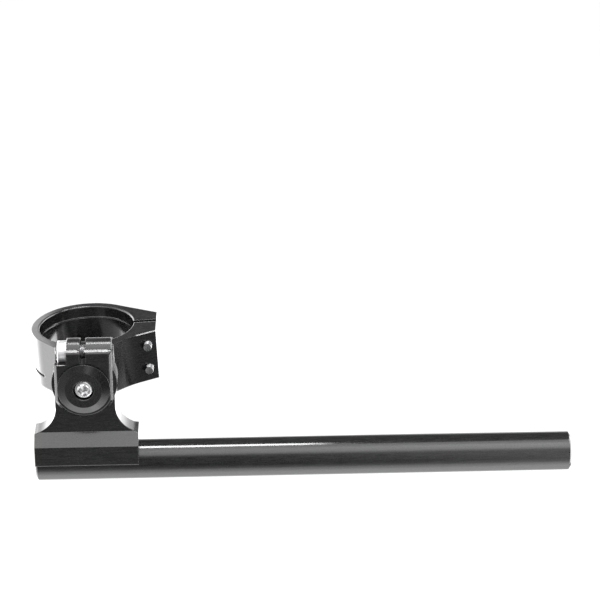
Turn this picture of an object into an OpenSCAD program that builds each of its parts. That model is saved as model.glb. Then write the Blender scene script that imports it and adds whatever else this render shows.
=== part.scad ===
// Adjustable clip-on handlebar for a motorbike fork, one side.
// The origin is the centre of the fork bore at half its height. +Z runs up the bore, +X points
// to the free end of the bar, and the swivel axis runs along Y on the -Y side of the fork.

/* [Fork clamp] */
// Bore that grips the fork leg
fork_d = 53; // [46:0.5:58]
// Wall of the clamp ring
ring_wall = 4.7; // [4:0.1:7]
// Height of the clamp ring
ring_h = 29; // [26:0.5:36]
// Gap of the clamp slit
slit_w = 3; // [2:0.5:4]
// Reach of the clamp tabs past the outside of the ring
tab_reach = 8.5; // [8.5:0.5:12]
// Outside width of the boss that carries the spigot
boss_w = 32.4; // [31:0.2:34]
// Outside face of the boss past the outside of the ring
boss_out = 4.9; // [4.5:0.1:8]
// Distance between the two fork pinch screws
fork_screw_pitch = 14.2; // [12:0.2:15]

/* [Swivel] */
// Diameter of the spigot that the collar turns on
spigot_d = 24; // [22:0.5:25]
// Radial play of the collar on the spigot
spigot_play = 0.05; // [0.02:0.01:0.1]
// Gap between the faces that turn past each other
face_gap = 0.3; // [0.2:0.1:0.5]
// Droop of the bar below square to the fork, in degrees
droop = 2.4; // [-10:0.2:10]
// Outside diameter of the pivot cap
cap_d = 29.2; // [27:0.2:30]

/* [Bar mount] */
// Length of the block along the bar
block_l = 58; // [54:1:70]
// Thickness of the block across the bar
block_t = 26; // [25:0.5:30]
// Swivel axis to bar axis
bar_drop = 49.7; // [48:0.1:60]
// Width of the collar
collar_w = 32; // [31:0.5:34]
// Depth of the collar along the spigot
collar_depth = 19; // [18.5:0.1:22]
// Thickness of the neck between block and collar
neck_t = 12.4; // [12:0.1:14]
// Width of the neck at its waist
neck_w = 33.2; // [32:0.2:36]
// Radius of the hollow on each side of the neck
neck_hollow_r = 16; // [14:0.5:18]
// Gap of the collar slot
slot_w = 3.2; // [2:0.2:4]
// Collar bolt above the swivel axis
bolt_rise = 18.1; // [17.8:0.1:20]

/* [Handlebar] */
// Outside diameter of the bar
bar_d = 22.2; // [22:0.1:22.4]
// Wall of the bar, which is bored out as far as the block
bar_wall = 3.6; // [3:0.1:4]
// Length of the bar
bar_l = 300; // [200:5:340]
// Distance between the two bar screws
bar_screw_pitch = 30.2; // [24:0.2:32]

/* [Hidden] */
$fn = 96;
eps = 0.01;

// Socket cap screws: thread, head width, head height and key width
m5_d = 5;
m5_head_d = 8.5;
m5_head_h = 5;
m5_key = 4;
m6_d = 6;
m6_head_d = 10;
m6_head_h = 6;
m6_key = 5;
m8_d = 8;
m8_head_d = 13;
m8_head_h = 8;
m8_key = 6;
thread_play = 0.03;
shank_play = 0.2;

// Fork clamp
bore_r = fork_d / 2;
ring_r = bore_r + ring_wall;
bore_edge = 0.6;
boss_face = ring_r + boss_out;
boss_round = 4;
shoulder_depth = 1.4;
shoulder_y = ring_r - shoulder_depth;
bend_in = 6.2;
bend_rise = 9.4;
bend = [ring_r - bend_in, bend_rise - ring_r];
bend_r = 40;
tab_x = ring_r + tab_reach;
tab_near = 14;
tab_far = 12.4;
slit_y = 0.8;
groove_z = -7.2;
groove_w = 1.6;
groove_depth = 1.2;
line_z = 7.6;
line_w = 0.6;
line_depth = 0.3;

// Corners that the straight flanks of the clamp run to
tab_corner = [tab_x, tab_far];
shoulder = [-boss_w / 2, -shoulder_y];

// Fork pinch screws, driven from the far side and threaded in the near side
fork_screw_inset = 5;
fork_screw_x = tab_x - fork_screw_inset;
fork_seat_t = 7.2;
fork_seat_y = slit_y + slit_w / 2 + fork_seat_t;
fork_screw_l = 30;
fork_seat_r = m5_head_d / 2 + 0.5;

// Swivel, from the boss face towards -Y
spigot_r = spigot_d / 2;
collar_back = boss_face + face_gap;
collar_face = collar_back + collar_depth;
cap_base = collar_face + face_gap;
cap_t = 2.9;
cap_rim = 0.8;
cap_bevel_w = 4.4;
cap_flat_r = cap_d / 2 - cap_bevel_w;
cap_hub_r = 8;
cap_hub_l = 6.8;
cap_hub_play = 0.05;
cap_pocket_play = 0.6;
cap_pocket_r = m6_head_d / 2 + cap_pocket_play;
cap_pocket_edge = 0.4;
cap_head_sink = 1.3;
pivot_seat_y = cap_base + cap_t - cap_head_sink - m6_head_h;
pivot_screw_l = 16;

// Bar mount, in its own frame with the bar level
bar_r = bar_d / 2;
saddle_play = 0.05;
bar_y = collar_back + neck_t / 2;
skirt_rise = 2.5;
shoulder_rise = 13.7;
crest_rise = 20.4;
hollow_rise = 14.8;
block_bottom = skirt_rise - bar_drop;
block_shoulder = shoulder_rise - bar_drop;
block_crest = crest_rise - bar_drop;
hollow_z = block_crest + hollow_rise;
collar_chamfer = 1.6;
collar_swell = 1.8;
collar_base_r = collar_w / 2 + collar_swell;
head_swell = 2.2;
head_r = collar_w / 2 + head_swell;
barrel_r = 7.8;
barrel_y = collar_back + collar_depth / 2;
barrel_edge = 0.5;
ear_x = 9;
ear_rise = 4.2;
ear_top = bolt_rise + ear_rise;
ear_round = 3.5;
bolt_seat_x = 6.1;
bolt_l = 20;
bolt_pocket_play = 0.35;
shelf_drop = 3.8;
shelf_z = bolt_rise - shelf_drop;
bolt_pocket_r = m8_head_d / 2 + bolt_pocket_play;

// Bar screws, sunk in the underside of the bar and threaded up into the neck
bar_screw_l = 30;
bar_seat_z = m6_head_h - bar_r;
bar_pocket_play = 0.3;
bar_pocket_r = m6_head_d / 2 + bar_pocket_play;
bar_edge = 1;

black = [0.1, 0.1, 0.11];
satin = [0.2, 0.2, 0.22];
silver = [0.8, 0.8, 0.82];

// Turns a shape drawn along Z so that it runs towards -Y from the given distance off the bore axis
module towards_front(y) {
    translate([0, -y, 0])
        rotate([90, 0, 0])
            children();
}

// Turns a shape drawn along Z so that it runs towards +X
module towards_bar_end(x) {
    translate([x, 0, 0])
        rotate([0, 90, 0])
            children();
}

// Sets the pieces of the bar side at the droop
module hung() {
    rotate([0, droop, 0])
        children();
}

// Socket cap screw with its head seat at z = 0, head upwards and thread downwards
module cap_screw(d, l, head_d, head_h, key) {
    edge = head_d * 0.06;
    tip = d * 0.1;
    difference() {
        union() {
            cylinder(d = head_d, h = head_h - edge);
            translate([0, 0, head_h - edge])
                cylinder(d1 = head_d, d2 = head_d - 2 * edge, h = edge);
            translate([0, 0, tip - l])
                cylinder(d = d, h = l - tip + eps);
            translate([0, 0, -l])
                cylinder(d1 = d - 2 * tip, d2 = d, h = tip);
        }
        translate([0, 0, head_h - d * 0.55])
            cylinder(d = key / cos(30), h = d, $fn = 6);
    }
}

// Angle and point where the tangent from p touches a circle of radius r about the origin
function tangent_angle(p, r, side) = atan2(p[1], p[0]) + side * acos(r / norm(p));

function tangent_point(p, r, side) =
    let (a = tangent_angle(p, r, side))
    [r * cos(a), r * sin(a)];

function unit(v) = v / norm(v);

module boss_outline() {
    half = boss_w / 2;
    translate([-half, boss_round - boss_face])
        square([boss_w, boss_face - boss_round - shoulder_y + eps]);
    translate([boss_round - half, -boss_face])
        square([boss_w - 2 * boss_round, boss_round + eps]);
    for (side = [-1, 1])
        translate([side * (half - boss_round), boss_round - boss_face])
            circle(r = boss_round);
}

// Fills the hollow corner between the boss and the near tab with a soft bend
module bend_fill() {
    to_boss = unit([boss_w / 2, -shoulder_y] - bend);
    to_tab = unit([tab_x, -tab_near] - bend);
    half_angle = acos(to_boss * to_tab) / 2;
    reach = bend_r / tan(half_angle);
    centre = bend + unit(to_boss + to_tab) * bend_r / sin(half_angle);
    difference() {
        polygon([bend, bend + reach * to_boss, bend + reach * to_tab]);
        translate(centre)
            circle(r = bend_r, $fn = 360);
    }
}

module clamp_outline() {
    half = boss_w / 2;
    circle(r = ring_r, $fn = 180);
    boss_outline();
    bend_fill();
    polygon([
        tangent_point(shoulder, ring_r, -1),
        shoulder,
        [half, -shoulder_y],
        bend,
        [tab_x, -tab_near],
        tab_corner,
        tangent_point(tab_corner, ring_r, 1)
    ]);
}

module fork_screw_holes() {
    for (side = [-1, 1])
        translate([fork_screw_x, 0, side * fork_screw_pitch / 2]) {
            towards_front(-slit_y)
                cylinder(r = m5_d / 2 + thread_play, h = tab_near + 20);
            towards_front(-fork_seat_y - 1)
                cylinder(r = m5_d / 2 + shank_play, h = fork_seat_y + 1 - slit_y);
            towards_front(-fork_seat_y - 20)
                cylinder(r = fork_seat_r, h = 20);
            translate([0, fork_seat_y, -fork_seat_r])
                cube([tab_reach + 5, 20, 2 * fork_seat_r]);
        }
}

// Rings cut in the clamp: the two thin lines in the bore and the groove round the outside
module clamp_grooves() {
    for (side = [-1, 1])
        translate([0, 0, side * line_z - line_w / 2])
            cylinder(r = bore_r + line_depth, h = line_w, $fn = 180);
    groove_from = tangent_angle(tab_corner, ring_r, 1);
    groove_to = 360 + tangent_angle(shoulder, ring_r, -1);
    rotate([0, 0, groove_from])
        rotate_extrude(angle = groove_to - groove_from, $fn = 180)
            translate([ring_r - groove_depth, groove_z - groove_w / 2])
                square([groove_depth + 2, groove_w]);
}

module fork_clamp() {
    color(black) difference() {
        union() {
            translate([0, 0, -ring_h / 2])
                linear_extrude(height = ring_h)
                    clamp_outline();
            towards_front(boss_face - 2)
                cylinder(r = spigot_r, h = cap_base - boss_face + 2);
        }
        translate([0, 0, -ring_h / 2 - 1])
            cylinder(r = bore_r, h = ring_h + 2, $fn = 180);
        for (side = [-1, 1])
            scale([1, 1, side])
                translate([0, 0, ring_h / 2 - bore_edge])
                    cylinder(r1 = bore_r, r2 = bore_r + bore_edge * 2, h = bore_edge * 2, $fn = 180);
        translate([bore_r - 3, slit_y - slit_w / 2, -ring_h / 2 - 1])
            cube([ring_wall + tab_reach + 5, slit_w, ring_h + 2]);
        clamp_grooves();
        fork_screw_holes();
        towards_front(cap_base - cap_hub_l - 0.3)
            cylinder(r = cap_hub_r + cap_hub_play, h = cap_hub_l + 1);
        towards_front(pivot_seat_y - pivot_screw_l - 1)
            cylinder(r = m6_d / 2 + thread_play, h = pivot_screw_l);
    }
}

module fork_screw(side) {
    color(silver)
        translate([fork_screw_x, fork_seat_y, side * fork_screw_pitch / 2])
            rotate([-90, 0, 0])
                cap_screw(m5_d, fork_screw_l, m5_head_d, m5_head_h, m5_key);
}

module fork_screw_upper() {
    fork_screw(1);
}

module fork_screw_lower() {
    fork_screw(-1);
}

// Flanged cap that keeps the collar on the spigot
module pivot_cap() {
    color(satin)
        towards_front(cap_base)
            difference() {
                union() {
                    cylinder(d = cap_d, h = cap_rim);
                    translate([0, 0, cap_rim])
                        cylinder(r1 = cap_d / 2, r2 = cap_flat_r, h = cap_t - cap_rim);
                    translate([0, 0, -cap_hub_l])
                        cylinder(r = cap_hub_r, h = cap_hub_l + eps);
                }
                translate([0, 0, pivot_seat_y - cap_base])
                    cylinder(r = cap_pocket_r, h = cap_t + cap_hub_l);
                translate([0, 0, cap_t - cap_pocket_edge])
                    cylinder(r1 = cap_pocket_r, r2 = cap_pocket_r + 2 * cap_pocket_edge, h = 2 * cap_pocket_edge);
                translate([0, 0, -cap_hub_l - 1])
                    cylinder(r = m6_d / 2 + shank_play, h = cap_hub_l);
            }
}

module pivot_screw() {
    color(silver)
        towards_front(pivot_seat_y)
            cap_screw(m6_d, pivot_screw_l, m6_head_d, m6_head_h, m6_key);
}

// Block over the bar with its slanted shoulders, running up into the flat neck
module block_and_neck() {
    difference() {
        towards_bar_end(-block_l / 2)
            rotate([0, 0, 90])
                linear_extrude(height = block_l)
                    polygon([
                        [-bar_y - block_t / 2, block_bottom],
                        [-bar_y - block_t / 2, block_shoulder],
                        [-bar_y - neck_t / 2, block_crest],
                        [-bar_y - neck_t / 2, 0],
                        [-bar_y + neck_t / 2, 0],
                        [-bar_y + neck_t / 2, block_crest],
                        [-bar_y + block_t / 2, block_shoulder],
                        [-bar_y + block_t / 2, block_bottom]
                    ]);
        for (side = [-1, 1])
            scale([side, 1, 1]) {
                translate([neck_w / 2 + neck_hollow_r, 0, hollow_z])
                    towards_front(0)
                        cylinder(r = neck_hollow_r, h = collar_face + 20);
                translate([neck_w / 2, -collar_face - 20, hollow_z])
                    cube([block_l, collar_face + 20, bar_drop]);
            }
    }
}

// Side view of the two ears, rounded at the top of their front
module ears_side() {
    polygon([
        [-collar_face, 0],
        [-collar_face, ear_top - ear_round],
        [ear_round - collar_face, ear_top],
        [-collar_back, ear_top],
        [-collar_back, 0]
    ]);
    translate([ear_round - collar_face, ear_top - ear_round])
        circle(r = ear_round);
}

// U-shaped front of the collar, with the barrel that the bolt runs through standing out on top
module collar_front() {
    half = collar_w / 2;
    intersection() {
        union() {
            towards_front(collar_back + neck_t - 1) {
                cylinder(r = collar_base_r, h = collar_depth - neck_t + 1 - collar_chamfer);
                translate([0, 0, collar_depth - neck_t + 1 - collar_chamfer])
                    cylinder(r1 = collar_base_r, r2 = collar_base_r - collar_chamfer, h = collar_chamfer);
            }
            towards_bar_end(-half)
                rotate([0, 0, 90])
                    linear_extrude(height = collar_w)
                        ears_side();
        }
        translate([0, 0, -collar_base_r - 1])
            linear_extrude(height = collar_base_r + 2 + ear_top)
                polygon([
                    [-half, collar_chamfer - collar_face],
                    [collar_chamfer - half, -collar_face],
                    [half - collar_chamfer, -collar_face],
                    [half, collar_chamfer - collar_face],
                    [half, 0],
                    [-half, 0]
                ]);
    }
}

module barrel() {
    length = ear_x + collar_w / 2;
    translate([0, -barrel_y, bolt_rise])
        towards_bar_end(-ear_x) {
            cylinder(r1 = barrel_r - barrel_edge, r2 = barrel_r, h = barrel_edge);
            translate([0, 0, barrel_edge])
                cylinder(r = barrel_r, h = length - 2 * barrel_edge);
            translate([0, 0, length - barrel_edge])
                cylinder(r1 = barrel_r, r2 = barrel_r - barrel_edge, h = barrel_edge);
        }
}

// Open pocket for the collar bolt's head, its seat, and the bolt's hole through both ears
module collar_bolt_cuts() {
    translate([-collar_w, -collar_face - 1, shelf_z])
        cube([collar_w - ear_x, collar_depth + 2, collar_w]);
    translate([0, -barrel_y, bolt_rise]) {
        towards_bar_end(-collar_w)
            cylinder(r = bolt_pocket_r, h = collar_w - bolt_seat_x);
        towards_bar_end(-bolt_seat_x - 1)
            cylinder(r = m8_d / 2 + shank_play, h = bolt_seat_x + 1);
        towards_bar_end(0)
            cylinder(r = m8_d / 2 + thread_play, h = collar_w);
    }
}

module bar_mount() {
    color(black) hung() difference() {
        union() {
            block_and_neck();
            towards_front(collar_back)
                cylinder(r = head_r, h = neck_t);
            collar_front();
            barrel();
        }
        towards_front(collar_back - 1)
            cylinder(r = spigot_r + spigot_play, h = collar_depth + 2);
        translate([-slot_w / 2, -collar_face - 1, 0])
            cube([slot_w, collar_depth + 2, bolt_rise + barrel_r + 1]);
        collar_bolt_cuts();
        translate([0, -bar_y, -bar_drop]) {
            towards_bar_end(-block_l / 2 - 1)
                cylinder(r = bar_r + saddle_play, h = block_l + 2);
            for (side = [-1, 1])
                translate([side * bar_screw_pitch / 2, 0, 0])
                    cylinder(r = m6_d / 2 + thread_play, h = bar_seat_z + bar_screw_l + 2);
        }
    }
}

module collar_bolt() {
    color(silver) hung()
        translate([-bolt_seat_x, -barrel_y, bolt_rise])
            rotate([0, -90, 0])
                cap_screw(m8_d, bolt_l, m8_head_d, m8_head_h, m8_key);
}

// Holes for the two bar screws, seen from the bar's axis
module bar_screw_cuts() {
    for (side = [-1, 1])
        translate([side * bar_screw_pitch / 2, 0, 0]) {
            translate([0, 0, -bar_r - 1])
                cylinder(r = bar_pocket_r, h = bar_r + 1 + bar_seat_z);
            translate([0, 0, -bar_r])
                cylinder(r = m6_d / 2 + shank_play, h = 2 * bar_r + 1);
        }
}

// Bar with a solid end that seats in the block, and a bore from its free end
module handlebar_tube() {
    color(black) hung()
        translate([0, -bar_y, -bar_drop])
            difference() {
                towards_bar_end(-block_l / 2) {
                    cylinder(r1 = bar_r - bar_edge, r2 = bar_r, h = bar_edge);
                    translate([0, 0, bar_edge])
                        cylinder(r = bar_r, h = bar_l - 2 * bar_edge);
                    translate([0, 0, bar_l - bar_edge])
                        cylinder(r1 = bar_r, r2 = bar_r - bar_edge, h = bar_edge);
                }
                towards_bar_end(block_l / 2)
                    cylinder(r = bar_r - bar_wall, h = bar_l - block_l + 1);
                bar_screw_cuts();
            }
}

module bar_screw(side) {
    color(silver) hung()
        translate([side * bar_screw_pitch / 2, -bar_y, bar_seat_z - bar_drop])
            rotate([180, 0, 0])
                cap_screw(m6_d, bar_screw_l, m6_head_d, m6_head_h, m6_key);
}

module bar_screw_inner() {
    bar_screw(-1);
}

module bar_screw_outer() {
    bar_screw(1);
}

fork_clamp();
fork_screw_upper();
fork_screw_lower();
pivot_cap();
pivot_screw();
bar_mount();
collar_bolt();
handlebar_tube();
bar_screw_inner();
bar_screw_outer();
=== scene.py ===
"""Looks of the clip-on handlebar: gloss black anodised aluminium, bright screws, plain studio."""

import math

import bmesh
import bpy
from mathutils import Matrix, Vector


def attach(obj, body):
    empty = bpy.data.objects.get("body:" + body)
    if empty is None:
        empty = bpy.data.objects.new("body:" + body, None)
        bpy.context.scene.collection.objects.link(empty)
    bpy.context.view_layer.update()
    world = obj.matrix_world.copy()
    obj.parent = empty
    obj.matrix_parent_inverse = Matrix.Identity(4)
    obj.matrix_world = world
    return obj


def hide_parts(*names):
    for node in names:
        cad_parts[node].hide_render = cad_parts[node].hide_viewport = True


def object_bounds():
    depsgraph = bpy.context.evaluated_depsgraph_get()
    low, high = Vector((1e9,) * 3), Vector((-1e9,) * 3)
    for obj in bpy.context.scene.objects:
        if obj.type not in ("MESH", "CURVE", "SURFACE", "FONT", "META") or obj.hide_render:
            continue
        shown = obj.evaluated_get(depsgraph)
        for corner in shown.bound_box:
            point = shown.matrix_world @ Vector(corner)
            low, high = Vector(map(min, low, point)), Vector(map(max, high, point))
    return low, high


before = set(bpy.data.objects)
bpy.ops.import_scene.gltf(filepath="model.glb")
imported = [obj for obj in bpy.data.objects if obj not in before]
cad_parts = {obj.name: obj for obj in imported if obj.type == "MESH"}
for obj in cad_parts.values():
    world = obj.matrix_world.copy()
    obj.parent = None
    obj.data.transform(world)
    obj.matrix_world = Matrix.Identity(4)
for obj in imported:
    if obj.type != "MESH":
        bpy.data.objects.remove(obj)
CAD_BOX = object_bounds()
MM = 0.001

DROOP = math.radians(2.4)  # how far the bar falls towards its free end
COLLAR_FACE_Y = -0.0554


# --- materials ---------------------------------------------------------------

BEVEL_SAMPLES = 16
BUMP_STRENGTH = 0.1

# Anodised finish: noise scales per metre, and each noise's part in the colour
MARK_SCALE, CLOUD_SCALE, GRAIN_SCALE, STREAK_SCALE = 1400.0, 60.0, 1900.0, 1500.0
CLOUD_PART, GRAIN_PART, STREAK_PART = 0.2, 0.45, 0.35
NOISE_MIDDLE = (0.36, 0.64)
LEAST_STREAK = 0.08
DYE_PARTS = ((0.1, 0.1, 0.1), (2.6, 2.6, 2.7))
WEAR_FROM_MARKS = 0.6
WEAR_RANGE = (0.55, 1.05)
SMOOTHEST, ROUGHEST = 0.75, 1.35
ANODISED_BUMP = 0.02 * MM
ANODISED_IOR = 1.5

# Screw steel
HANDLING_SCALE, STAIN_SCALE = 900.0, 160.0
HEAD_TONE = (0.72, 0.72, 0.73)
HEAD_PART, STAIN_PART = 0.6, 0.4
STEEL_MARKS_RANGE = (0.3, 0.7)
STEEL_SMOOTHEST, STEEL_ROUGHEST = 0.8, 1.5
THREAD_FADE = 0.5 * MM
SCREW_EDGE = 0.1 * MM
STEEL_BUMP = 0.03 * MM


def link(tree, out, into):
    tree.links.new(out, into)


def node(tree, kind, **values):
    """A new node; each value goes to the input or the property of that name."""
    made = tree.nodes.new(kind)
    for key, value in values.items():
        if key in made.inputs:
            made.inputs[key].default_value = value
        else:
            setattr(made, key, value)
    return made


def math_node(tree, operation, first, second=None, third=None):
    made = node(tree, "ShaderNodeMath", operation=operation)
    for slot, value in enumerate((first, second, third)):
        if value is None:
            continue
        if isinstance(value, (int, float)):
            made.inputs[slot].default_value = value
        else:
            link(tree, value, made.inputs[slot])
    return made.outputs[0]


def product(tree, first, second):
    return math_node(tree, "MULTIPLY", first, second)


def object_place(tree):
    return node(tree, "ShaderNodeTexCoord").outputs["Object"]


def parted(tree, vector):
    """The x, y and z of a vector."""
    split = node(tree, "ShaderNodeSeparateXYZ")
    link(tree, vector, split.inputs[0])
    return split.outputs


def new_material(name):
    material = bpy.data.materials.new(name)
    material.use_nodes = True
    tree = material.node_tree
    return material, tree, tree.nodes["Principled BSDF"]


def noise(tree, scale, detail, stretch=(1, 1, 1), turn=(0, 0, 0)):
    mapping = node(tree, "ShaderNodeMapping", Scale=stretch, Rotation=turn)
    link(tree, object_place(tree), mapping.inputs["Vector"])
    made = node(tree, "ShaderNodeTexNoise", Scale=scale, Detail=detail)
    link(tree, mapping.outputs["Vector"], made.inputs["Vector"])
    return made.outputs["Fac"]


def remap(tree, value, from_low, from_high, to_low, to_high, smooth=False):
    made = node(tree, "ShaderNodeMapRange")
    if smooth:
        made.interpolation_type = "SMOOTHSTEP"
    made.inputs["From Min"].default_value = from_low
    made.inputs["From Max"].default_value = from_high
    made.inputs["To Min"].default_value = to_low
    made.inputs["To Max"].default_value = to_high
    link(tree, value, made.inputs["Value"])
    return made.outputs["Result"]


def two_tones(tree, factor, first, second, into):
    """Blends two colours by a factor, into a colour socket."""
    mix = node(tree, "ShaderNodeMix", data_type="RGBA")
    mix.inputs[6].default_value = (*first, 1)
    mix.inputs[7].default_value = (*second, 1)
    link(tree, factor, mix.inputs[0])
    link(tree, mix.outputs[2], into)


def rounded_normal(tree, shader, marks, radius, strength, depth):
    """Softly rounded edges with the surface marks on top of them."""
    edge = node(tree, "ShaderNodeBevel", samples=BEVEL_SAMPLES, Radius=radius)
    bump = node(tree, "ShaderNodeBump", Strength=strength, Distance=depth)
    link(tree, marks, bump.inputs["Height"])
    link(tree, edge.outputs["Normal"], bump.inputs["Normal"])
    link(tree, bump.outputs["Normal"], shader.inputs["Normal"])


def on_barrel(tree):
    """One where the barrel stands out above the ears, and nought elsewhere on the mount."""
    x, _, z = parted(tree, object_place(tree))
    upright = product(tree, z, math.cos(DROOP))
    level_z = math_node(tree, "MULTIPLY_ADD", x, math.sin(DROOP), upright)
    return math_node(tree, "GREATER_THAN", level_z, EARS_TOP)


def anodised(
    name, shade, roughness, stretch, edge_mm, turn=(0, 0, 0), gloss=0.5, duller=None
):
    """Black anodised aluminium: dyed oxide over fine machining marks that run one way.

    duller is a mask and the least roughness on the part of the surface that it covers.
    """
    material, tree, shader = new_material(name)
    marks = noise(tree, MARK_SCALE, 3.0, stretch, turn)
    cloud = noise(tree, CLOUD_SCALE, 4.0)
    grain = noise(tree, GRAIN_SCALE, 2.0)
    streak_stretch = tuple(max(part, LEAST_STREAK) for part in stretch)
    streaks = noise(tree, STREAK_SCALE, 3.0, streak_stretch, turn)
    grain_part = remap(tree, grain, *NOISE_MIDDLE, 0.0, GRAIN_PART)
    streak_part = remap(tree, streaks, *NOISE_MIDDLE, 0.0, STREAK_PART)
    fine = math_node(tree, "MULTIPLY_ADD", cloud, CLOUD_PART, grain_part)
    fleck = math_node(tree, "ADD", fine, streak_part)
    dark, light = (tuple(shade * part for part in parts) for parts in DYE_PARTS)
    worn = math_node(tree, "MULTIPLY_ADD", marks, WEAR_FROM_MARKS, cloud)
    rough = remap(tree, worn, *WEAR_RANGE, roughness * SMOOTHEST, roughness * ROUGHEST)
    if duller:
        mask, least = duller
        rough = math_node(tree, "MAXIMUM", rough, product(tree, mask(tree), least))
    two_tones(tree, fleck, dark, light, shader.inputs["Base Color"])
    link(tree, rough, shader.inputs["Roughness"])
    rounded_normal(tree, shader, marks, edge_mm * MM, BUMP_STRENGTH, ANODISED_BUMP)
    shader.inputs["Metallic"].default_value = 0.0
    shader.inputs["IOR"].default_value = ANODISED_IOR
    shader.inputs["Specular IOR Level"].default_value = gloss
    return material


def bright_steel(name, thread_tone, roughness=0.22):
    """Plated screw steel with handling marks; the thread, below the seat at z = 0, is greyer."""
    material, tree, shader = new_material(name)
    marks = noise(tree, HANDLING_SCALE, 4.0)
    cloud = noise(tree, STAIN_SCALE, 3.0)
    z = parted(tree, object_place(tree))[2]
    on_head = remap(tree, z, -THREAD_FADE, 0.0, 0.0, HEAD_PART)
    tone = math_node(tree, "MULTIPLY_ADD", cloud, STAIN_PART, on_head)
    two_tones(tree, tone, thread_tone, HEAD_TONE, shader.inputs["Base Color"])
    span = (roughness * STEEL_SMOOTHEST, roughness * STEEL_ROUGHEST)
    link(tree, remap(tree, marks, *STEEL_MARKS_RANGE, *span), shader.inputs["Roughness"])
    rounded_normal(tree, shader, marks, SCREW_EDGE, BUMP_STRENGTH, STEEL_BUMP)
    shader.inputs["Metallic"].default_value = 1.0
    return material


def dress(name, material):
    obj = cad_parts[name]
    obj.data.materials.clear()
    obj.data.materials.append(material)


ALONG_BAR = (0.03, 1, 1)
ROUND_RING = (0.25, 0.25, 1)
LEVEL = (0, -DROOP, 0)
EARS_TOP = 22.4 * MM
GREY_THREAD = (0.35, 0.35, 0.355)
# Thread tone of the fork screws, painted near black as a painted reflection of the dark room in
# front of their tips
PAINTED_REFLECTION_TONE = (0.07, 0.07, 0.072)

clamp_black = anodised("clamp_black", 0.009, 0.12, ROUND_RING, 0.8)
mount_black = anodised(
    "mount_black", 0.008, 0.12, ALONG_BAR, 0.75, LEVEL, duller=(on_barrel, 0.26)
)
bar_black = anodised("bar_black", 0.01, 0.11, ALONG_BAR, 0.7, LEVEL)
cap_black = anodised("cap_black", 0.008, 0.17, (1, 1, 1), 0.35, gloss=0.4)
bright_edge = anodised("bright_edge", 0.012, 0.2, (1, 1, 1), 0.02)
screw_steel = bright_steel("screw_steel", GREY_THREAD)
satin_steel = bright_steel("satin_steel", GREY_THREAD, roughness=0.4)
# Fork screw steel: thread and tip painted dark, a painted dark reflection rather than a darker
# finish
thread_painted_dark = bright_steel("thread_painted_dark", PAINTED_REFLECTION_TONE)

dress("fork_clamp", clamp_black)
dress("bar_mount", mount_black)
dress("handlebar_tube", bar_black)
dress("pivot_cap", cap_black)


# --- socket cap screws with knurled heads, sockets and threads ----------------

ROUND = 96
HEX_SIDES = 6
VERTICES_PER_TOOTH = 3
KNURL_DEPTH = 0.13 * MM
THREAD_DEPTH = 0.55  # of the pitch
THREAD_STEPS = 6  # rings to each turn of the thread
THREAD_START = 0.2 * MM
TIP_TAPER = 0.8  # of the thread's depth
TIP_CONE = 0.1 * MM
SOCKET_DEPTH = 0.55  # of the thread's diameter
SOCKET_CHAMFER = 0.25 * MM
SOCKET_LEAD = 0.3 * MM
SOCKET_CONE = 0.2  # of the key's size
HEAD_EDGE = 0.06  # of the head's diameter
EDGE_DOWN, EDGE_IN = 0.35, 0.25  # the middle of the head's rounded edge, of HEAD_EDGE
SEAT_CHAMFER = 0.3 * MM
PLAIN_RIM = 0.2 * MM
SHARP_ANGLE = math.radians(32)
NEARLY_UPRIGHT = 0.9


def ring(bm, z, radius):
    """One ring of vertices; radius is a number or a function of the angle."""
    made = []
    for i in range(ROUND):
        angle = 2 * math.pi * i / ROUND
        r = radius(angle) if callable(radius) else radius
        made.append(bm.verts.new((r * math.cos(angle), r * math.sin(angle), z)))
    return made


def bridge(bm, lower, upper):
    for i in range(ROUND):
        j = (i + 1) % ROUND
        bm.faces.new((lower[i], lower[j], upper[j], upper[i]))


def hexagon(across_flats):
    """Radius of a hexagon at an angle."""
    sector = 2 * math.pi / HEX_SIDES

    def radius(angle):
        return across_flats / 2 / math.cos((angle % sector) - sector / 2)

    return radius


def knurl(outside, depth):
    teeth = ROUND // VERTICES_PER_TOOTH

    def radius(angle):
        return outside - depth * (0.5 + 0.5 * math.cos(teeth * angle))

    return radius


def thread_rings(bm, crest, pitch, start, end):
    """Rings of a helical thread from start down to end, fading out at the tip."""
    depth = pitch * THREAD_DEPTH
    steps = max(2, int((start - end) / pitch * THREAD_STEPS))
    rings = []
    for k in range(steps + 1):
        z = start + (end - start) * k / steps
        fade = min(1.0, (z - end) / pitch) * min(1.0, (start - z) / pitch)

        def radius(angle, z=z, fade=fade):
            turn = (z / pitch - angle / (2 * math.pi)) % 1.0
            ridge = 1 - abs(2 * turn - 1)
            taper = (1 - min(1.0, (z - end) / pitch)) * depth * TIP_TAPER
            return crest - depth * (1 - ridge) * fade - taper

        rings.append(ring(bm, z, radius))
    return rings


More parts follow.
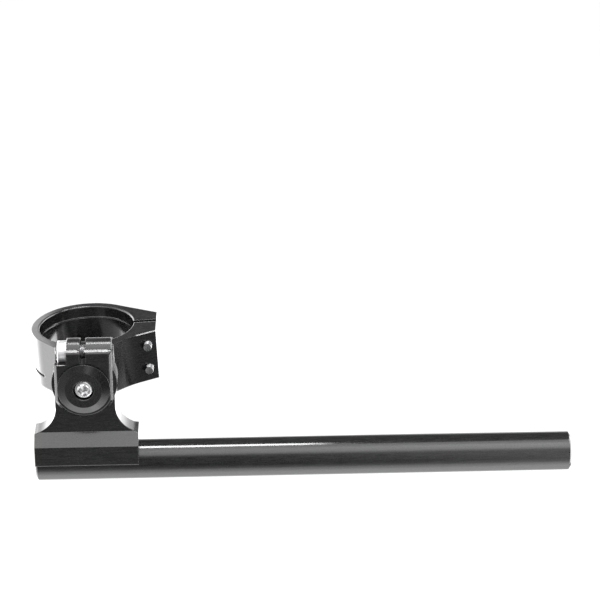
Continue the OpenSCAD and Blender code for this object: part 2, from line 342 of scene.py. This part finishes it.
def cap_screw_mesh(name, thread, pitch, head, head_h, key, length):
    """Screw in metres, seated at z = 0 with its head upwards."""
    bm = bmesh.new()
    crest = thread / 2
    head_r = head / 2
    edge = head * HEAD_EDGE
    knurled = knurl(head_r, KNURL_DEPTH)
    socket_mouth = key / math.sqrt(3) + SOCKET_CHAMFER
    socket_floor = head_h - thread * SOCKET_DEPTH
    sides = hexagon(key)
    tip = thread_rings(bm, crest, pitch, -THREAD_START, -length)
    outline = list(reversed(tip))
    outline += [
        ring(bm, 0, crest),
        ring(bm, 0, head_r - SEAT_CHAMFER),
        ring(bm, SEAT_CHAMFER, head_r),
        ring(bm, SEAT_CHAMFER + PLAIN_RIM, knurled),
        ring(bm, head_h - edge - 2 * PLAIN_RIM, knurled),
        ring(bm, head_h - edge - PLAIN_RIM, head_r),
        ring(bm, head_h - edge, head_r),
        ring(bm, head_h - edge * EDGE_DOWN, head_r - edge * EDGE_IN),
        ring(bm, head_h, head_r - edge),
        ring(bm, head_h, socket_mouth),
        ring(bm, head_h - SOCKET_LEAD, sides),
        ring(bm, socket_floor, sides),
    ]
    for lower, upper in zip(outline, outline[1:]):
        bridge(bm, lower, upper)
    bottom = bm.verts.new((0, 0, socket_floor - key * SOCKET_CONE))
    end = bm.verts.new((0, 0, -length + TIP_CONE))
    for i in range(ROUND):
        j = (i + 1) % ROUND
        bm.faces.new((outline[-1][i], outline[-1][j], bottom))
        bm.faces.new((outline[0][j], outline[0][i], end))
    bm.normal_update()
    for face in bm.faces:
        face.smooth = True
    for e in bm.edges:
        e.smooth = e.is_manifold and e.calc_face_angle(0) < SHARP_ANGLE
    mesh = bpy.data.meshes.new(name)
    bm.to_mesh(mesh)
    bm.free()
    return mesh


def extents(points, directions):
    """Least and greatest reach of the points in each direction."""
    return [(min(p.dot(d) for p in points), max(p.dot(d) for p in points)) for d in directions]


def detailed_screw(
    cad_name, body, towards_head, thread, pitch, head, head_h, key,
    turn=0.0, sunk=0.0, steel=screw_steel,
):
    """Replaces a plain screw by a detailed one, from the same seat to the same tip.

    The sizes are in mm. turn is the socket's angle, and sunk is how much lower its head is.
    """
    axis = Vector(towards_head).normalized()
    helper = Vector((0, 0, 1)) if abs(axis.z) < NEARLY_UPRIGHT else Vector((1, 0, 0))
    side = helper.cross(axis).normalized()
    other = axis.cross(side)
    points = [v.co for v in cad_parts[cad_name].data.vertices]
    across, along, reach = extents(points, (side, other, axis))
    middle = side * sum(across) / 2 + other * sum(along) / 2
    seat = middle + axis * (reach[1] - head_h * MM)
    length = reach[1] - reach[0] - head_h * MM
    sizes = [value * MM for value in (thread, pitch, head, head_h - sunk, key)]
    mesh = cap_screw_mesh(cad_name + "_detail", *sizes, length)
    pose = Matrix((side, other, axis)).transposed().to_4x4() @ Matrix.Rotation(turn, 4, "Z")
    pose.translation = seat
    obj = bpy.data.objects.new(cad_name + "_detail", mesh)
    bpy.context.scene.collection.objects.link(obj)
    obj.matrix_world = pose
    mesh.materials.append(steel)
    bpy.context.view_layer.update()
    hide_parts(cad_name)
    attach(obj, body)


# Thread, pitch, head, head's height and key, in mm
M5 = (5, 0.8, 8.5, 5, 4)
M6 = (6, 1.0, 10, 6, 5)
M8 = (8, 1.25, 13, 8, 6)
TO_BACK = (0, 1, 0)
TO_FRONT = (0, -1, 0)
TO_LEFT = (-math.cos(DROOP), 0, math.sin(DROOP))
TO_BELOW = (-math.sin(DROOP), 0, -math.cos(DROOP))

# The fork screws' tips and threads carry a painted dark reflection in their colour
detailed_screw("fork_screw_upper", "fork_side", TO_BACK, *M5, turn=0.3, steel=thread_painted_dark)
detailed_screw("fork_screw_lower", "fork_side", TO_BACK, *M5, turn=0.8, steel=thread_painted_dark)
detailed_screw("pivot_screw", "fork_side", TO_FRONT, *M6, turn=0.15)
detailed_screw("collar_bolt", "bar_side", TO_LEFT, *M8, turn=0.4, steel=satin_steel)
detailed_screw("bar_screw_inner", "bar_side", TO_BELOW, *M6, turn=0.6, sunk=1.2)
detailed_screw("bar_screw_outer", "bar_side", TO_BELOW, *M6, turn=0.1, sunk=1.2)


# --- narrow raised strips along three edges, to catch the light ----------------

# Ends of the near tab's top edge; the ears and the shelf are given as if the bar were level.
# The ears' strips miss the solid: it runs from -9.0 to -1.6 mm and from 1.6 to 16 mm. The
# depths of EAR_AXIS and SHELF_EDGE are 0.2 mm in front of the solid's.
TAB_EDGE = ((0.0288, -0.01978, 0.0145), (0.0397, -0.014, 0.0145))
TAB_FLAT_HALF = 0.4 * MM
TAB_FLAT_ANGLE = math.radians(38)
EAR_ROUND = 3.5 * MM
EAR_AXIS = (-52.1 * MM, 18.8 * MM)  # y and z
EAR_SPANS = ((-9.6 * MM, -2.7 * MM), (0.9 * MM, 14.0 * MM))
EAR_FLAT_HALF = 0.8 * MM
SHELF_EDGE = (-55.6 * MM, 14.3 * MM)  # y and z
SHELF_SPAN = (-14.3 * MM, -9.9 * MM)
SHELF_FLAT_HALF = 0.25 * MM
LAMP_ANGLE = math.radians(30.5)  # from upright to the front, where a flat reflects the lamp
SUNK = 0.02 * MM
FLAT_DEPTH = 0.3 * MM


def sharp_edge_profile(half, angle):
    """Section of a strip over a sharp edge, as (up, front) from the edge."""
    sine, cosine = math.sin(angle), math.cos(angle)
    top = ((SUNK * cosine + half * sine), (SUNK * sine - half * cosine))
    low = ((SUNK * cosine - half * sine), (SUNK * sine + half * cosine))
    return (top, low, (low[0], -SUNK), (-SUNK, -SUNK), (-SUNK, top[1]))


def rounded_edge_profile(radius, half, angle):
    """Section of a strip that stands out of a rounded edge, as (up, front) from its axis."""
    sine, cosine = math.sin(angle), math.cos(angle)
    reach = radius + half * half / (2 * radius) + SUNK / 2
    inner = reach - FLAT_DEPTH
    corners = ((reach, -half), (reach, half), (inner, half), (inner, -half))
    return [(out * cosine - across * sine, out * sine + across * cosine) for out, across in corners]


def add_strip(bm, ends, up, front, profile):
    """A closed bar of the given section from one end to the other."""
    first, last = (Vector(end) for end in ends)
    rings = []
    for share in (0.0, 1.0):
        centre = first.lerp(last, share)
        rings.append([bm.verts.new(centre + up * u + front * f) for u, f in profile])
    for i in range(len(profile)):
        j = (i + 1) % len(profile)
        bm.faces.new((rings[0][i], rings[0][j], rings[1][j], rings[1][i]))
    bm.faces.new(rings[0])
    bm.faces.new(rings[1])


def strip_piece(name, bm, body):
    bmesh.ops.recalc_face_normals(bm, faces=bm.faces)
    mesh = bpy.data.meshes.new(name)
    bm.to_mesh(mesh)
    bm.free()
    mesh.materials.append(bright_edge)
    obj = bpy.data.objects.new(name, mesh)
    bpy.context.scene.collection.objects.link(obj)
    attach(obj, body)


def hung(x, y, z):
    """A point of the level bar mount, turned by the droop."""
    return Matrix.Rotation(DROOP, 3, "Y") @ Vector((x, y, z))


FRONT = Vector((0, -1, 0))

tab = bmesh.new()
tab_along = (Vector(TAB_EDGE[1]) - Vector(TAB_EDGE[0])).normalized()
tab_up = Vector((0, 0, 1))
tab_profile = sharp_edge_profile(TAB_FLAT_HALF, TAB_FLAT_ANGLE)
add_strip(tab, TAB_EDGE, tab_up, tab_along.cross(tab_up), tab_profile)
strip_piece("tab_chamfer", tab, "fork_side")

collar = bmesh.new()
collar_up = hung(0, 0, 1)
ear_profile = rounded_edge_profile(EAR_ROUND, EAR_FLAT_HALF, LAMP_ANGLE)
for span in EAR_SPANS:
    add_strip(collar, [hung(x, *EAR_AXIS) for x in span], collar_up, FRONT, ear_profile)
shelf_profile = sharp_edge_profile(SHELF_FLAT_HALF, LAMP_ANGLE)
add_strip(collar, [hung(x, *SHELF_EDGE) for x in SHELF_SPAN], collar_up, FRONT, shelf_profile)
strip_piece("collar_flats", collar, "bar_side")


# --- studio ------------------------------------------------------------------

FLOOR_DROP = 0.11
FLOOR_HALF = 1.6
DIFFUSE_LEVEL = 1.1

# What the gloss reflects, in pairs: degrees from the zenith towards the front, round the
# bar's long axis, and radiance
ROOM_PROFILE = (
    (-180, 3.6), (-170, 2.8), (-156, 1.9), (-135, 2.0), (-108, 2.6), (-88, 2.6),
    (-77, 0.5), (-66, 0.2), (-43, 0.25), (-12, 0.4), (-3, 0.6), (3, 4.0), (11, 4.2),
    (24, 5.2), (42, 4.3), (50, 2.4), (58, 0.6), (66, 0.3), (113, 0.3), (127, 1.1),
    (134, 1.8), (140, 3.1), (150, 3.7), (162, 4.5), (171, 4.4), (180, 3.6),
)
BRIGHTEST = 5.2
LEFT_PANEL = 5.5
FRONT_RIGHT_PANEL = 1.8
LOW_RIGHT_PANEL = 11.0
BACK_PANELS = 2.6
WHITE = (1, 1, 1, 1)
FLOOR_TONE = (0.9, 0.9, 0.9, 1)
FLOOR_ROUGHNESS = 0.9
FLOOR_WHITENING = 0.75  # share of plain white that the camera sees in the floor


def mixed(tree, share, first, second):
    """Mix of two shaders' nodes."""
    made = node(tree, "ShaderNodeMixShader")
    link(tree, share, made.inputs[0])
    link(tree, first.outputs[0], made.inputs[1])
    link(tree, second.outputs[0], made.inputs[2])
    return made


def pale_floor():
    """Floor that keeps the object's shadow, and is open when seen from below."""
    mesh = bpy.data.meshes.new("floor")
    half = FLOOR_HALF
    z = CAD_BOX[0][2] - FLOOR_DROP
    corners = [(-half, -half, z), (half, -half, z), (half, half, z), (-half, half, z)]
    mesh.from_pydata(corners, [], [(0, 1, 2, 3)])
    floor = bpy.data.objects.new("floor", mesh)
    bpy.context.scene.collection.objects.link(floor)
    material, tree, shader = new_material("floor_white")
    shader.inputs["Base Color"].default_value = FLOOR_TONE
    shader.inputs["Roughness"].default_value = FLOOR_ROUGHNESS
    to_camera = node(tree, "ShaderNodeLightPath").outputs["Is Camera Ray"]
    white = node(tree, "ShaderNodeEmission", Color=WHITE, Strength=1.0)
    top = mixed(tree, product(tree, to_camera, FLOOR_WHITENING), shader, white)
    below = node(tree, "ShaderNodeNewGeometry").outputs["Backfacing"]
    surface = mixed(tree, below, top, node(tree, "ShaderNodeBsdfTransparent"))
    link(tree, surface.outputs[0], tree.nodes["Material Output"].inputs["Surface"])
    mesh.materials.append(material)
    floor.visible_glossy = False


def ease(tree, value, start, end, from_level, to_level):
    """Goes smoothly from one level to the other as the value goes from start to end."""
    return remap(tree, value, start, end, from_level, to_level, smooth=True)


def round_the_bar(tree, y, z):
    """Radiance by the angle round the bar's long axis, from ROOM_PROFILE."""
    angle = math_node(tree, "ARCTAN2", product(tree, y, -1.0), z)
    place = math_node(tree, "MULTIPLY_ADD", angle, 1 / (2 * math.pi), 0.5)
    ramp = node(tree, "ShaderNodeValToRGB")
    ramp.color_ramp.interpolation = "LINEAR"
    elements = ramp.color_ramp.elements
    while len(elements) < len(ROOM_PROFILE):
        elements.new(0.5)
    for element, (degrees, level) in zip(elements, ROOM_PROFILE):
        element.position = degrees / 360 + 0.5
        share = level / BRIGHTEST
        element.color = (share, share, share, 1)
    link(tree, place, ramp.inputs[0])
    return product(tree, ramp.outputs[0], BRIGHTEST)


def side_panels(tree, x, y, z):
    """Radiance of the panels to the left, the front right, the low right and behind.

    x, y and z are the parts of a ray's direction, which has length one.
    """
    left = product(
        tree,
        ease(tree, x, -0.35, -0.75, 0.0, LEFT_PANEL),
        ease(tree, y, -0.15, 0.1, 0.15, 1.0),
    )
    right_middle = product(
        tree,
        ease(tree, x, 0.0, 0.12, 0.0, FRONT_RIGHT_PANEL),
        ease(tree, x, 0.22, 0.32, 1.0, 0.0),
    )
    front_right = product(tree, right_middle, ease(tree, y, -0.1, -0.4, 0.0, 1.0))
    low_right = product(
        tree,
        ease(tree, y, -0.07, -0.03, 0.0, LOW_RIGHT_PANEL),
        ease(tree, x, 0.6, 0.8, 0.0, 1.0),
    )
    off_middle = math_node(tree, "ABSOLUTE", math_node(tree, "ADD", x, 0.05))
    low_behind = product(
        tree,
        ease(tree, y, 0.4, 0.7, 0.0, 1.0),
        ease(tree, z, 0.45, 0.3, 0.0, 1.0),
    )
    behind = product(tree, ease(tree, off_middle, 0.08, 0.2, 0.0, BACK_PANELS), low_behind)
    panels = math_node(tree, "ADD", math_node(tree, "ADD", left, front_right), low_right)
    return math_node(tree, "ADD", panels, behind)


def studio_world():
    """White to the camera, plain to diffuse light, and a room of panels to the gloss."""
    world = bpy.data.worlds.new("studio")
    bpy.context.scene.world = world
    world.use_nodes = True
    tree = world.node_tree
    tree.nodes.clear()
    x, y, z = parted(tree, node(tree, "ShaderNodeTexCoord").outputs["Generated"])
    along = round_the_bar(tree, y, z)
    middle_share = ease(tree, math_node(tree, "ABSOLUTE", x), 0.4, 0.75, 1.0, 0.25)
    panels = side_panels(tree, x, y, z)
    level = math_node(tree, "MULTIPLY_ADD", along, middle_share, panels)
    room = node(tree, "ShaderNodeBackground")
    link(tree, level, room.inputs["Strength"])
    plain = node(tree, "ShaderNodeBackground", Color=WHITE, Strength=DIFFUSE_LEVEL)
    white = node(tree, "ShaderNodeBackground", Color=WHITE, Strength=1.0)
    path = node(tree, "ShaderNodeLightPath")
    by_gloss = mixed(tree, path.outputs["Is Glossy Ray"], plain, room)
    by_camera = mixed(tree, path.outputs["Is Camera Ray"], by_gloss, white)
    output = node(tree, "ShaderNodeOutputWorld")
    link(tree, by_camera.outputs[0], output.inputs["Surface"])


def softbox(name, place, aim, size, radiance):
    """Rectangular lamp whose radiance doesn't change with its size."""
    lamp = bpy.data.lights.new(name, "AREA")
    lamp.shape = "RECTANGLE"
    lamp.size, lamp.size_y = size
    lamp.energy = radiance * math.pi * size[0] * size[1]
    obj = bpy.data.objects.new(name, lamp)
    bpy.context.scene.collection.objects.link(obj)
    obj.location = place
    toward = Vector(aim) - Vector(place)
    obj.rotation_euler = toward.to_track_quat("-Z", "Y").to_euler()


# Name, place, aim, size and radiance
LAMPS = (
    ("overhead_strip", (0.065, 0.0115, 0.62), (0.065, -0.04, 0), (0.2, 0.13), 28.0),
    ("tab_glint", (0.713, 0.027, 1.46), (0.035, -0.015, 0.0145), (0.22, 0.24), 26.0),
    ("back_left", (-0.33, 0.62, 0.4), (-0.33, 0, 0.4), (0.5, 0.42), 2.4),
)

pale_floor()
studio_world()
for lamp_values in LAMPS:
    softbox(*lamp_values)


# --- camera: the photograph's view, from a fit to the lower handlebar ---------

CAMERA_TURN = math.radians(-0.74)
CAMERA_RISE = math.radians(22.98)
CAMERA_ROLL = math.radians(0.8)
CAMERA_DISTANCE = 1.6257
CAMERA_ACROSS = 0.12006
CAMERA_UP = 0.04726
PIXELS_PER_MM = 1.812
PHOTO_PIXELS = 600
SENSOR_MM = 36.0
CLIP_RANGE = (0.05, 10)


def photo_camera():
    """Camera of the fit, which was made in the level frame of the collar's face."""
    turn_c, turn_s = math.cos(CAMERA_TURN), math.sin(CAMERA_TURN)
    rise_c, rise_s = math.cos(CAMERA_RISE), math.sin(CAMERA_RISE)
    across = Vector((turn_c, turn_s, 0))
    ahead = Vector((-turn_s * rise_c, turn_c * rise_c, -rise_s))
    upward = Vector((-turn_s * rise_s, turn_c * rise_s, rise_c))
    place = CAMERA_ACROSS * across + CAMERA_UP * upward - CAMERA_DISTANCE * ahead
    roll_c, roll_s = math.cos(CAMERA_ROLL), math.sin(CAMERA_ROLL)
    x_axis = across * roll_c - upward * roll_s
    y_axis = across * roll_s + upward * roll_c
    pose = Matrix((x_axis, y_axis, -ahead)).transposed().to_4x4()
    pose.translation = place
    level_to_frame = Matrix.Translation((0, COLLAR_FACE_Y, 0)) @ Matrix.Rotation(DROOP, 4, "Y")
    data = bpy.data.cameras.new("photo_camera")
    data.sensor_width = SENSOR_MM
    focal_pixels = PIXELS_PER_MM / MM * CAMERA_DISTANCE
    data.lens = focal_pixels / PHOTO_PIXELS * SENSOR_MM
    data.clip_start, data.clip_end = CLIP_RANGE
    camera = bpy.data.objects.new("photo_camera", data)
    bpy.context.scene.collection.objects.link(camera)
    camera.matrix_world = level_to_frame @ pose
    bpy.context.scene.camera = camera


photo_camera()
bpy.context.scene.view_settings.view_transform = "Standard"
